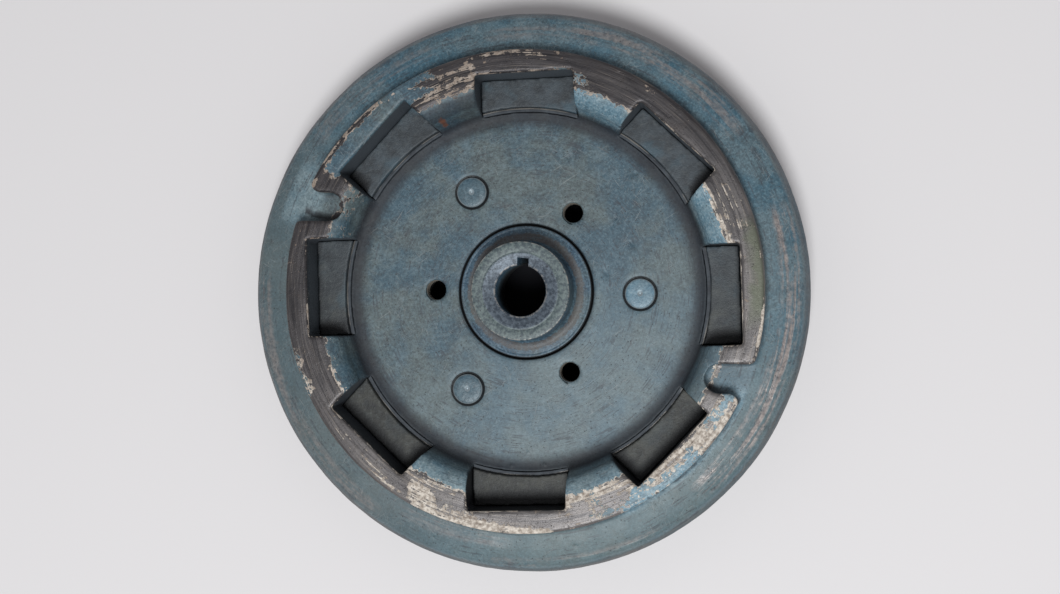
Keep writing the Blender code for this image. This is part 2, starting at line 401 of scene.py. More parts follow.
def body_profile():
    lip_r = 7.5 * MM
    lip_edge_r = 74 * MM
    web_fillet = 3.4 * MM
    rear_fillet = 2 * MM
    profile = [
        (RING_OUTER_R - 0.6 * MM, RING_TOP_Z),
        (RING_OUTER_R - 0.15 * MM, RING_TOP_Z - 0.15 * MM),
        (RING_OUTER_R, RING_TOP_Z - 0.6 * MM),
        (RING_OUTER_R + 0.3 * MM, LEDGE_Z + 0.9 * MM),
        (RING_OUTER_R + 0.6 * MM, LEDGE_Z + 0.25 * MM),
        (RING_OUTER_R + 1.3 * MM, LEDGE_Z),
        (88 * MM, LEDGE_Z - 0.25 * MM),
        (90.5 * MM, LEDGE_Z - 0.7 * MM),
        (93.6 * MM, LEDGE_Z - 1.5 * MM),
        (96 * MM, LEDGE_Z - 2.45 * MM),
        (96.5 * MM, LEDGE_Z - 2.5 * MM),
        (97.2 * MM, LEDGE_Z - 3.2 * MM),
        (98.2 * MM, LEDGE_Z - 4.6 * MM),
        (99.3 * MM, LEDGE_Z - 6.8 * MM),
        (99.85 * MM, LEDGE_Z - 8.4 * MM),
        (OUTER_R, LEDGE_Z - 10 * MM),
        (OUTER_R, 1.5 * MM),
        (OUTER_R - 0.5 * MM, 0.5 * MM),
        (OUTER_R - 1.5 * MM, 0),
        (REAR_BORE_R + 1.2 * MM, 0),
        (REAR_BORE_R, 1.2 * MM),
    ]
    profile += arc(REAR_BORE_R - rear_fillet, WEB_BACK_Z - rear_fillet, rear_fillet, 0, 90, 6)
    profile += [
        (HUB_SEAT_R, WEB_BACK_Z),
        (HUB_SEAT_R, WEB_Z - 0.6 * MM),
        (HUB_SEAT_R + 0.5 * MM, WEB_Z),
    ]
    profile += arc(WEB_EDGE_R - web_fillet, WEB_Z + web_fillet, web_fillet, -90, -15, 10)
    profile += arc(lip_edge_r, RING_TOP_Z - lip_r, lip_r, 180, 90, 20)
    return profile


def thread_cutter():
    """One continuous V groove for each tapped hole, to cut from the finished body."""
    steps = 28
    top_z = WEB_Z + THREAD_PITCH
    bottom_z = WEB_BACK_Z - THREAD_PITCH
    section = (
        (THREAD_MINOR_R - 0.5 * MM, -0.55 * THREAD_PITCH),
        (TAPPED_R, 0),
        (THREAD_MINOR_R - 0.5 * MM, 0.35 * THREAD_PITCH),
    )
    count = int((top_z - bottom_z) / THREAD_PITCH * steps)
    grooves = []
    for degrees in TAPPED_ANGLES:
        middle_x, middle_y = on_circle(TAPPED_CIRCLE_R, degrees)
        vertices = []
        faces = []
        for i in range(count + 1):
            turn = math.tau * i / steps
            z = bottom_z + THREAD_PITCH * i / steps
            for r, dz in section:
                vertices.append((middle_x + r * math.cos(turn), middle_y + r * math.sin(turn), z + dz))
            if i:
                a = 3 * (i - 1)
                b = 3 * i
                for j in range(3):
                    k = (j + 1) % 3
                    faces.append((a + j, a + k, b + k, b + j))
        last = 3 * count
        faces += [(2, 1, 0), (last, last + 1, last + 2)]
        grooves.append(solid("thread", vertices, faces))
    return joined("threads", grooves)


def body_cutters():
    half = MAGNET_WIDTH / 2 + GAP
    outline = outer_corners(WINDOW_WALL_R, half) + inner_arc(POLE_INNER_R - 0.2 * MM, half)
    window = prism("window", outline, MAGNET_BOTTOM_Z - GAP, RING_TOP_Z + 3 * MM)
    pieces = turned_copies(window, [360 * i / MAGNET_COUNT for i in range(MAGNET_COUNT)])
    notch = prism("notch", notch_outline(), NOTCH_FLOOR_Z, RING_TOP_Z + 3 * MM)
    pieces += turned_copies(notch, (0, 180))
    low_z = WEB_BACK_Z - 2 * MM
    high_z = WEB_Z + 2 * MM
    shank = RIVET_SHANK_R + GAP
    rivet_hole = [
        (0, high_z),
        (SPOT_FACE_R + 0.1 * MM, high_z),
        (SPOT_FACE_R + 0.1 * MM, WEB_Z),
        (SPOT_FACE_R - 0.1 * MM, SPOT_FACE_Z),
        (shank, SPOT_FACE_Z),
        (shank, low_z),
        (0, low_z),
    ]
    tapped_hole = [(0, high_z), (THREAD_MINOR_R, high_z), (THREAD_MINOR_R, low_z), (0, low_z)]
    for degrees in RIVET_ANGLES:
        pieces.append(lathe("hole", rivet_hole, 64, on_circle(RIVET_CIRCLE_R, degrees)))
    for degrees in TAPPED_ANGLES:
        pieces.append(lathe("hole", tapped_hole, 48, on_circle(TAPPED_CIRCLE_R, degrees)))
    return joined("body_cutters", pieces)


# Dents in the web and on the ledge: angle and radius of the middle, length, width,
# direction of the long side (degrees) and depth, in degrees and millimetres.
DENTS = (
    (25, 41.5, 3.6, 0.9, 122, 0.5),
    (38, 38.6, 2.0, 0.8, 60, 0.3),
    (40, 41.3, 1.4, 0.8, 140, 0.35),
    (14, 29.6, 4.6, 1.1, 118, 0.5),
    (73, 50.5, 3.0, 0.7, 5, 0.3),
    (70, 44.2, 2.0, 0.6, 160, 0.25),
    (57, 50.0, 1.4, 0.7, 45, 0.3),
    (48, 57.5, 1.2, 1.0, 0, 0.4),
    (120, 52.0, 2.4, 0.5, 30, 0.2),
    (186, 45.0, 4.0, 0.5, 95, 0.15),
    (262, 52.0, 5.0, 0.5, 150, 0.2),
    (300, 50.0, 1.2, 0.9, 0, 0.3),
    (318, 44.0, 1.0, 0.9, 0, 0.3),
    (20, 92.0, 3.5, 0.8, 110, 0.3),
    (338, 91.0, 4.5, 1.2, 70, 0.25),
    (62, 92.5, 5.0, 1.4, 150, 0.3),
    (85, 91.0, 2.6, 1.8, 0, 0.25),
    (140, 92.0, 2.2, 1.4, 60, 0.2),
    (205, 92.5, 3.0, 1.2, 110, 0.25),
    (215, 94.5, 2.4, 1.6, 130, 0.3),
    (251, 93.0, 2.6, 1.2, 160, 0.2),
    (283, 91.0, 2.0, 1.6, 0, 0.25),
    (312, 93.0, 3.0, 1.2, 40, 0.2),
)


def dent_depth(points):
    depth = np.zeros(len(points))
    for degrees, radius, length, width, direction, deep in DENTS:
        x, y = on_circle(radius * MM, degrees)
        turn = math.radians(direction)
        dx = points[:, 0] - x
        dy = points[:, 1] - y
        along = (dx * math.cos(turn) + dy * math.sin(turn)) / (length * MM / 2)
        across = (dy * math.cos(turn) - dx * math.sin(turn)) / (width * MM / 2)
        depth = np.maximum(depth, deep * MM * np.clip(1 - along ** 2 - across ** 2, 0, 1))
    return depth


# Light droplets that stand on the web and its rim: angle, radius, size.
DROPLETS = (
    (266.5, 62.3, 0.9),
    (277.5, 62.0, 0.8),
    (286.5, 69.2, 0.9),
    (272, 57.5, 0.6),
    (251, 60.5, 0.5),
)


def droplet_height(points):
    height = np.zeros(len(points))
    for degrees, radius, size in DROPLETS:
        x, y = on_circle(radius * MM, degrees)
        reach = np.hypot(points[:, 0] - x, points[:, 1] - y) / (size * MM)
        height = np.maximum(height, 0.5 * size * MM * np.sqrt(np.clip(1 - reach ** 2, 0, 1)))
    return height


def build_body():
    body = lathe("cast_body_worn", body_profile(), 288)
    body = cut(body, body_cutters())
    remesh = body.modifiers.new("remesh", "REMESH")
    remesh.mode = "VOXEL"
    remesh.voxel_size = BODY_VOXEL
    body = applied(body)
    points = coordinates(body)
    for _ in range(2):
        points = 0.4 * points + 0.6 * neighbour_mean(body, points)
    set_coordinates(body, points)
    sharp = smooth_step(0.05, 0.2, bend(body, 3))
    radius = np.hypot(points[:, 0], points[:, 1])
    machined = (radius < 60 * MM) & (points[:, 2] > 20 * MM)
    cast = np.where(machined, 0.12, 1.0)
    top = (radius > 73.5 * MM) & (radius < 84.5 * MM) & (points[:, 2] > 39 * MM)
    cast = np.where(top, 0.25, cast)
    lumps = 0.16 * value_noise(points, 14 * MM, 1) + 0.07 * value_noise(points, 5 * MM, 2)
    lumps += 0.035 * value_noise(points, 1.8 * MM, 3)
    dings = np.clip(value_noise(points, 4 * MM, 4) + 0.6 * value_noise(points, 1.6 * MM, 5), -0.2, 1.2)
    shift = cast * lumps * MM - sharp * (0.05 + 0.22 * np.clip(dings, 0, 1)) * MM
    front = normals(body)[:, 2] > 0.5
    shift = shift - np.where(front, dent_depth(points), 0) + np.where(front, droplet_height(points), 0)
    moved = points + normals(body) * shift[:, None]
    low = np.array(cad_low)
    high = np.array(cad_high)
    set_coordinates(body, np.clip(moved, low, high))
    if len(body.data.polygons) * 2 > BODY_FACES:
        thin = body.modifiers.new("thin", "DECIMATE")
        thin.ratio = BODY_FACES / (len(body.data.polygons) * 2)
        body = applied(body)
        set_coordinates(body, np.clip(coordinates(body), low, high))
    return cut(body, thread_cutter())


def hub_profile():
    fillet = 3.2 * MM
    step_z = WEB_Z + 0.3 * MM
    mouth_z = HUB_TOP_Z - COUNTERSINK_DEPTH
    bore_rear_r = BORE_FRONT_R + (mouth_z - HUB_BOTTOM_Z) * BORE_TAPER / 2
    flange_fillet = 3.5 * MM
    edge = 0.5 * MM
    tool_line = 0.08 * MM
    profile = [
        (BORE_FRONT_R, mouth_z - 0.3 * MM),
        (BORE_FRONT_R + 0.15 * MM, mouth_z - 0.05 * MM),
        (BORE_FRONT_R + 0.5 * MM, mouth_z + 0.1 * MM),
        (COUNTERSINK_R - 0.3 * MM, HUB_TOP_Z - 0.1 * MM),
        (COUNTERSINK_R + 0.2 * MM, HUB_TOP_Z),
        (13.5 * MM, HUB_TOP_Z),
        (13.65 * MM, HUB_TOP_Z - tool_line),
        (13.8 * MM, HUB_TOP_Z),
        (BOSS_R - edge, HUB_TOP_Z),
        (BOSS_R - 0.15 * MM, HUB_TOP_Z - 0.15 * MM),
        (BOSS_R, HUB_TOP_Z - edge),
    ]
    profile += arc(BOSS_R + fillet, step_z + fillet, fillet, 180, 270, 12)
    profile += [
        (22.3 * MM, step_z),
        (22.45 * MM, step_z - tool_line),
        (22.6 * MM, step_z),
        (SPIGOT_R - edge, step_z),
        (SPIGOT_R - 0.12 * MM, step_z - 0.15 * MM),
        (SPIGOT_R, step_z - edge),
        (SPIGOT_R, FLANGE_FRONT_Z),
        (FLANGE_R - edge, FLANGE_FRONT_Z),
        (FLANGE_R, FLANGE_FRONT_Z - edge),
        (FLANGE_R, FLANGE_BACK_Z + edge),
        (FLANGE_R - 0.15 * MM, FLANGE_BACK_Z + 0.15 * MM),
        (FLANGE_R - edge, FLANGE_BACK_Z),
    ]
    profile += arc(BARREL_R + flange_fillet, FLANGE_BACK_Z - flange_fillet, flange_fillet, 90, 180, 10)
    profile += [
        (BARREL_R, HUB_BOTTOM_Z + 2 * edge),
        (BARREL_R - 0.3 * MM, HUB_BOTTOM_Z + 0.3 * MM),
        (BARREL_R - 2 * edge, HUB_BOTTOM_Z),
        (bore_rear_r + edge, HUB_BOTTOM_Z),
        (bore_rear_r, HUB_BOTTOM_Z + edge),
    ]
    return profile


def keyway_cutter():
    front_z = HUB_TOP_Z + 1 * MM
    rear_z = HUB_BOTTOM_Z - 1 * MM
    front_r = BORE_FRONT_R + KEYWAY_DEPTH
    rear_r = front_r + (front_z - rear_z) * BORE_TAPER / 2
    side = [(0, rear_z), (rear_r, rear_z), (front_r, front_z), (0, front_z)]
    cutter = prism("keyway", side, -KEYWAY_WIDTH / 2, KEYWAY_WIDTH / 2)
    turn = Matrix.Rotation(math.radians(KEYWAY_ANGLE), 4, "Z")
    cutter.data.transform(turn @ Matrix.Rotation(math.radians(90), 4, "X"))
    return cutter


def build_hub():
    hub = lathe("hub_turned", hub_profile(), 192)
    low_z = FLANGE_BACK_Z - 2 * MM
    high_z = FLANGE_FRONT_Z + 2 * MM
    holes = [keyway_cutter()]
    for radius, circle_r, angles in (
        (RIVET_SHANK_R + GAP, RIVET_CIRCLE_R, RIVET_ANGLES),
        (TAPPED_R, TAPPED_CIRCLE_R, TAPPED_ANGLES),
    ):
        outline = [(0, high_z), (radius, high_z), (radius, low_z), (0, low_z)]
        for degrees in angles:
            holes.append(lathe("hole", outline, 48, on_circle(circle_r, degrees)))
    hub = cut(hub, joined("hub_cutters", holes))
    hub = bevelled(hub, 0.22 * MM, 2, 50)
    return hub


def rivet_profile():
    top = WEB_Z + 0.85 * MM
    seat = SPOT_FACE_Z + GAP
    rear = FLANGE_BACK_Z - GAP
    return [
        (0, top - 0.75 * MM),
        (0.35 * MM, top - 0.6 * MM),
        (0.8 * MM, top - 0.12 * MM),
        (1.15 * MM, top - 0.02 * MM),
        (1.5 * MM, top),
        (3.2 * MM, top - 0.03 * MM),
        (4.5 * MM, top - 0.12 * MM),
        (5.0 * MM, top - 0.25 * MM),
        (5.3 * MM, top - 0.5 * MM),
        (RIVET_HEAD_R, top - 0.85 * MM),
        (RIVET_HEAD_R, seat),
        (RIVET_SHANK_R, seat),
        (RIVET_SHANK_R, rear),
        (5.1 * MM, rear),
        (5.3 * MM, rear - 0.25 * MM),
        (5.2 * MM, rear - 0.8 * MM),
        (4.7 * MM, rear - 1.5 * MM),
        (3.6 * MM, rear - 2 * MM),
        (2 * MM, rear - 2.25 * MM),
        (0, rear - 2.3 * MM),
    ]


def build_rivets():
    rivets = []
    for i, degrees in enumerate(RIVET_ANGLES, 1):
        rivet = lathe(f"hub_rivet_{i}_headed", rivet_profile(), 64, on_circle(RIVET_CIRCLE_R, degrees))
        points = coordinates(rivet)
        push = value_noise(points, 2.5 * MM, 20 + i) * 0.06 + value_noise(points, 1.0 * MM, 30 + i) * 0.03
        near_top = smooth_step(WEB_Z + 0.2 * MM, WEB_Z + 0.8 * MM, points[:, 2])
        near_rear = smooth_step(FLANGE_BACK_Z - 0.4 * MM, FLANGE_BACK_Z - 1.2 * MM, points[:, 2])
        points[:, 2] += push * MM * np.maximum(near_top, near_rear)
        set_coordinates(rivet, points)
        rivets.append(rivet)
    return rivets


def build_magnets():
    half = MAGNET_WIDTH / 2
    inner_r = POLE_INNER_R + POLE_THICKNESS + POLE_GAP
    snug = 0.15 * MM
    outline = outer_corners(WINDOW_WALL_R - snug, half + snug) + inner_arc(inner_r - snug, half + snug)
    first = prism("magnet", outline, MAGNET_BOTTOM_Z, MAGNET_TOP_Z)
    magnets = []
    for i, magnet in enumerate(turned_copies(first, [45 * k for k in range(MAGNET_COUNT)]), 1):
        magnet.name = f"magnet_{i}_block"
        remesh = magnet.modifiers.new("remesh", "REMESH")
        remesh.mode = "VOXEL"
        remesh.voxel_size = 0.45 * MM
        magnet = applied(magnet)
        magnet.name = f"magnet_{i}_block"
        points = coordinates(magnet)
        for _ in range(2):
            points = 0.4 * points + 0.6 * neighbour_mean(magnet, points)
        push = 0.06 * value_noise(points, 7 * MM, 40 + i) + 0.03 * value_noise(points, 2 * MM, 50 + i)
        set_coordinates(magnet, points + normals(magnet) * push[:, None] * MM)
        magnets.append(magnet)
    return magnets


def build_pole_shoes():
    half = MAGNET_WIDTH / 2
    shoes = []
    for i in range(MAGNET_COUNT):
        outer = inner_arc(POLE_INNER_R + POLE_THICKNESS + 0.3 * MM, half, 32)
        inner = inner_arc(POLE_INNER_R - 0.1 * MM, half, 32)
        shoe = prism("shoe", outer[::-1] + inner, MAGNET_BOTTOM_Z, POLE_TOP_Z)
        shoe = bevelled(shoe, 0.2 * MM, 2, 50)
        shoe = turned_copies(shoe, (45 * i,))[0]
        shoe.name = f"pole_shoe_{i + 1}_plate"
        shoe.data.name = shoe.name
        points = coordinates(shoe)
        sway = value_noise(points * np.array([1, 1, 0.2]), 9 * MM, 60 + i) * 0.2
        sway += value_noise(points, 3 * MM, 70 + i) * 0.08
        top = smooth_step(MAGNET_BOTTOM_Z + 12 * MM, POLE_TOP_Z, points[:, 2])
        points[:, 2] += top * sway * MM
        set_coordinates(shoe, points)
        shoes.append(shoe)
    return shoes


# ---------------------------------------------------------------- masks on the cast body

def wedge(angles, centre, half, soft=4):
    """1 within half degrees of an angle about the shaft, fading to 0 over soft degrees."""
    return 1 - smooth_step(half, half + soft, angle_gap(angles, centre))


def band(radii, low, high, soft=1):
    """1 between two radii in millimetres, fading over soft millimetres."""
    inside = smooth_step(low - soft, low, radii)
    return inside * (1 - smooth_step(high, high + soft, radii))


# The side where the paint is paler and the bare metal lighter, in degrees: partly fading and rubbing,
# partly painted light from the lamp's side, with painted shade on the far side.
LIT_AND_FADED_ANGLE = -58

# Where old paint is left on the raised ring: angle, half angle, radii, how much is left.
PAINT_LEFT = (
    (133, 14, 76.5, 81.4, 1.00),
    (121, 5, 79.5, 84.5, 0.70),
    (308, 10, 80.4, 83.6, 0.66),
    (331, 4, 78.0, 81.5, 0.62),
    (297, 8, 78.5, 82.5, 0.55),
    (247, 7, 78.5, 80.5, 0.50),
    (77, 4, 74.0, 78.0, 0.50),
    (202, 4, 82.0, 84.5, 0.45),
)

# Where cream primer shows: angle, half angle, radii, strength.
PRIMER_SHOWN = (
    (316, 16, 77.4, 82.0, 0.72),
    (326, 13, 82.4, 84.5, 0.74),
    (334, 3, 79.5, 84.0, 0.72),
    (299, 7, 74.5, 80.5, 0.58),
    (287, 4, 71.5, 76.0, 0.85),
    (293, 4, 70.5, 74.0, 0.66),
    (252, 7, 80.0, 83.4, 0.72),
    (240, 9, 80.6, 82.6, 0.55),
    (262, 3, 81.0, 83.8, 0.86),
    (270, 7, 82.8, 84.4, 0.72),
    (253, 4, 70.8, 73.6, 0.60),
    (246, 7, 72.4, 74.4, 0.58),
    (214, 8, 81.0, 84.0, 0.38),
    (226, 9, 78.0, 81.5, 0.42),
    (113, 8, 77.5, 84.0, 0.38),
    (96, 9, 81.0, 83.8, 0.50),
    (107, 4, 72.5, 78.5, 0.60),
    (116, 4, 71.5, 74.5, 0.50),
    (80, 3, 73.5, 79.5, 0.40),
    (27, 3, 70.5, 73.5, 0.66),
    (18, 3, 70.5, 75.5, 0.60),
    (22, 5, 74.5, 81.5, 0.44),
    (352, 6, 83.2, 84.5, 0.62),
    (131, 16, 83.4, 84.6, 0.62),
    (128, 12, 76.0, 77.5, 0.42),
    (147, 3, 77.5, 80.0, 0.60),
    (157, 3, 82.5, 85.0, 0.62),
)

# Lighter, bluer paint on the raised ring and its lips: angle, half angle, radii, strength.
LIGHT_PAINT = (
    (316, 18, 76.0, 85.0, 0.80),
    (22, 8, 66.0, 76.0, 0.75),
    (67, 9, 66.0, 76.0, 0.55),
    (247, 9, 67.0, 82.0, 0.60),
    (292, 9, 68.0, 76.0, 0.45),
    (157, 5, 80.0, 92.0, 0.45),
)

# Scuffed arcs on the rope ledge: angle, half angle, radii, strength.
LEDGE_SCUFFS = (
    (352, 24, 91.0, 95.5, 0.72),
    (330, 14, 89.5, 95.0, 0.64),
    (8, 8, 92.0, 95.5, 0.44),
    (62, 16, 91.5, 95.5, 0.44),
    (48, 8, 90.5, 94.5, 0.36),
    (86, 10, 90.0, 93.0, 0.24),
    (196, 16, 93.5, 96.5, 0.36),
    (222, 12, 93.0, 96.0, 0.32),
    (283, 16, 95.0, 97.0, 0.32),
    (255, 10, 86.5, 90.0, 0.22),
    (128, 14, 91.0, 95.0, 0.20),
)


def patches(angles, radii, table):
    total = np.zeros(len(radii))
    for centre, half, low, high, strength in table:
        total = np.maximum(total, strength * wedge(angles, centre, half, 5) * band(radii, low, high, 1.6))
    return total


def window_distance(points):
    """Millimetres from the nearest window's edge, seen from the front: below 0 inside."""
    nearest = np.full(len(points), 99.0)
    skew = math.radians(MAGNET_SKEW)
    for i in range(MAGNET_COUNT):
        turn = math.tau * i / MAGNET_COUNT
        x = points[:, 0] * math.cos(turn) + points[:, 1] * math.sin(turn) - MAGNET_MIDDLE_R
        y = points[:, 1] * math.cos(turn) - points[:, 0] * math.sin(turn)
        along = x * math.cos(skew) + y * math.sin(skew)
        across = y * math.cos(skew) - x * math.sin(skew)
        side = np.abs(across) - (MAGNET_WIDTH / 2 + GAP)
        end = np.maximum(along - (WINDOW_WALL_R - MAGNET_MIDDLE_R), -along - 8 * MM)
        nearest = np.minimum(nearest, np.maximum(side, end) / MM)
    return nearest


def mask_body(body):
    points = coordinates(body)
    facing = normals(body)
    radii = np.hypot(points[:, 0], points[:, 1]) / MM
    angles = np.degrees(np.arctan2(points[:, 1], points[:, 0]))
    heights = points[:, 2] / MM
    front = smooth_step(0.0, 0.4, facing[:, 2])
    rear = smooth_step(0.0, -0.4, facing[:, 2])
    raised = smooth_step(36.5, 38.5, heights)
    plateau = band(radii, 73.6, 84.2, 0.9) * raised
    lip = band(radii, 64.5, 73.6, 0.6) * smooth_step(25, 27, heights) * front
    ledge = band(radii, 85, 97, 0.5) * front
    ring_side = band(radii, 83.4, 85.0, 0.3) * (1 - front) * smooth_step(32, 33, heights)
    outer = smooth_step(97, 98.5, radii)
    edge = smooth_step(0.04, 0.22, bend(body, 4))
    hollow = smooth_step(0.04, 0.3, -bend(body, 8))

    # 1 where the paint is whole, 0 where it has gone
    paint = 1 - plateau * (1 - patches(angles, radii, PAINT_LEFT))
    lip_loss = smooth_step(69.3, 75.2, radii) + 0.3 * wedge(angles, 155, 9) * band(radii, 66, 74)
    lip_loss += 0.14 * wedge(angles, 203, 8) + 0.1 * wedge(angles, 112, 9)
    paint = np.minimum(paint, 1 - lip * np.clip(lip_loss, 0, 1))
    paint = np.minimum(paint, 1 - 0.4 * ring_side)
    paint = np.minimum(paint, 1 - ledge * patches(angles, radii, LEDGE_SCUFFS))
    paint = np.minimum(paint, 1 - outer * (1 - rear) * 0.3)
    machined_rear = rear * (smooth_step(65.5, 66.5, radii) * (heights < 2))
    paint = paint * (1 - machined_rear)

    distance = window_distance(points)
    rim = (1 - smooth_step(0.2, 0.9, np.abs(distance))) * smooth_step(35, 37, heights) * (radii > 68)
    ring_edge = edge * (radii > 82) * (radii < 85) * raised * wedge(angles, 320, 50, 30)
    primer = patches(angles, radii, PRIMER_SHOWN) * raised
    primer = np.maximum(primer, np.maximum(0.56 * rim, 0.46 * ring_edge))

    # painted shade with some grime: the window insides, the web's foot, hollows, the outer rim's edge, the
    # notches' shaded sides, one lip's foot and the hub seat are darkened
    inside = smooth_step(0.3, -0.5, distance) * (radii > 62) * (heights < 38.8)
    foot = smooth_step(56, 62.5, radii) * (1 - smooth_step(64.5, 70, radii)) * smooth_step(33, 27, heights)
    shade_and_grime = np.maximum(0.2 * inside, 0.86 * foot * np.maximum(front, 0.5))
    shade_and_grime = np.maximum(shade_and_grime, 0.5 * hollow * (1 - lip))
    shade_and_grime = np.maximum(shade_and_grime, 0.5 * outer * (1 - rear))
    # painted shadow on the shaded side of the two rope notches, which lie on one line through the axis
    lean = math.radians(NOTCH_ANGLE)
    across = (points[:, 1] * math.cos(lean) - points[:, 0] * math.sin(lean)) / MM
    notch = smooth_step(-1.8, -4.4, across) * smooth_step(-6.2, -5.6, across) * (heights < 39)
    shade_and_grime = np.maximum(shade_and_grime, 0.85 * notch * band(radii, 73, 84, 1.5) * (heights > 31))
    lip_foot = wedge(angles, 112, 10) * band(radii, 64, 70, 3) * front
    shade_and_grime = np.maximum(shade_and_grime, np.maximum(0.66 * lip_foot, band(radii, 24, 24.8, 1.6) * front * 0.35))

    olive = wedge(angles, 6, 9, 5) * band(radii, 79.6, 83.2, 0.8) * raised

    turned = band(radii, 24.5, 60, 1) * front * (heights < 26)
    # 1 on the paler side: partly fading, partly painted light, and painted shade on the far side
    pale = 0.5 + 0.5 * np.cos(np.radians(angles - LIT_AND_FADED_ANGLE))
    attribute(body, "paint", paint)
    attribute(body, "primer", np.clip(primer, 0, 1))
    attribute(body, "light", patches(angles, radii, LIGHT_PAINT) * smooth_step(26, 33, heights))
    attribute(body, "dull", wedge(angles, 200, 38, 35))
    # the window walls, which the material colours as painted light and shade
    attribute(body, "window_wall_shade", smooth_step(0.9, 0.4, distance) * (1 - front) * band(heights, 20, 39.0, 0.4))
    attribute(body, "shade_and_grime", np.clip(shade_and_grime, 0, 1))
    attribute(body, "olive", olive)
    attribute(body, "pale", np.where(facing[:, 2] > -0.5, pale, 0.5))
    attribute(body, "turned", np.maximum(turned, machined_rear))
    attribute(body, "ledge", np.maximum(ledge, outer * (1 - rear)))


# ---------------------------------------------------------------- materials

class Field:
    """A value in a material's graph. Its sums and products are maths nodes."""

    def __init__(self, graph, socket):
        self.graph = graph
        self.socket = socket

    def __add__(self, other):
        return self.graph.maths("ADD", self, other)

    def __radd__(self, other):
        return self.graph.maths("ADD", other, self)

    def __sub__(self, other):
        return self.graph.maths("SUBTRACT", self, other)

    def __rsub__(self, other):
        return self.graph.maths("SUBTRACT", other, self)

    def __mul__(self, other):
        return self.graph.maths("MULTIPLY", self, other)


